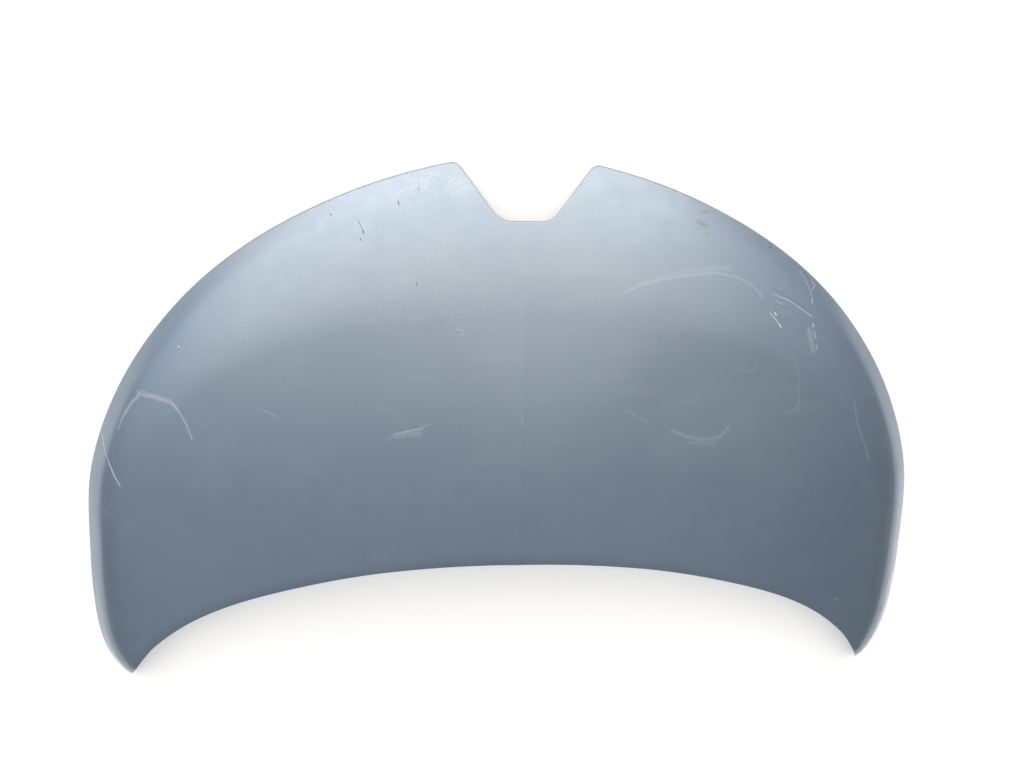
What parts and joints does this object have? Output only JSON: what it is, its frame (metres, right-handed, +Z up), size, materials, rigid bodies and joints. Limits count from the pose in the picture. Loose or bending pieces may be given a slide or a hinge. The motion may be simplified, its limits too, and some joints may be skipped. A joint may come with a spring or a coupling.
{
  "type": "car bonnet",
  "caption": "Crowned car bonnet with a notched nose and swept rear edge: painted skin hemmed round a pressed inner frame with hinge pads and a striker.",
  "frame": {"origin": "middle of the bonnet's box in plan, on the surface it lies on", "axes": "+Z up with the crown up, +Y towards the nose, +X across to the bonnet's right seen from behind"},
  "size_m": [1.402, 0.8942, 0.1396],
  "materials": {
    "body_paint": "metallic paint under clear coat, light bluish silver, with scratches",
    "frame_paint": "thin dull coat of the body colour",
    "plate_steel": "dull dark primer on steel plate",
    "zinc": "satin zinc plating",
    "rubber": "matt black rubber",
    "plastic": "satin black plastic",
    "mastic": "matt grey mastic"
  },
  "bodies": {
    "root": {"outer_skin": "body_paint", "inner_frame": "frame_paint", "hinge_reinforcement_left": "plate_steel", "hinge_nut_1": "zinc", "hinge_nut_2": "zinc", "hinge_reinforcement_right": "plate_steel", "hinge_nut_3": "zinc", "hinge_nut_4": "zinc", "latch_reinforcement": "plate_steel", "striker_plate": "zinc", "striker_loop": "zinc", "latch_nut_1": "zinc", "striker_bolt_1": "zinc", "latch_nut_2": "zinc", "striker_bolt_2": "zinc", "buffer_left": "rubber", "buffer_right": "rubber", "prop_socket": "plastic", "mastic_dab_01": "mastic", "mastic_dab_02": "mastic", "mastic_dab_03": "mastic", "mastic_dab_04": "mastic", "mastic_dab_05": "mastic", "mastic_dab_06": "mastic", "mastic_dab_07": "mastic", "mastic_dab_08": "mastic", "mastic_dab_09": "mastic", "mastic_dab_10": "mastic", "mastic_dab_11": "mastic", "mastic_dab_12": "mastic", "mastic_dab_13": "mastic", "mastic_dab_14": "mastic", "mastic_dab_15": "mastic", "mastic_dab_16": "mastic", "mastic_dab_17": "mastic", "mastic_dab_18": "mastic", "mastic_dab_19": "mastic", "mastic_dab_20": "mastic", "mastic_dab_21": "mastic", "mastic_dab_22": "mastic"}
  },
  "joints": []
}
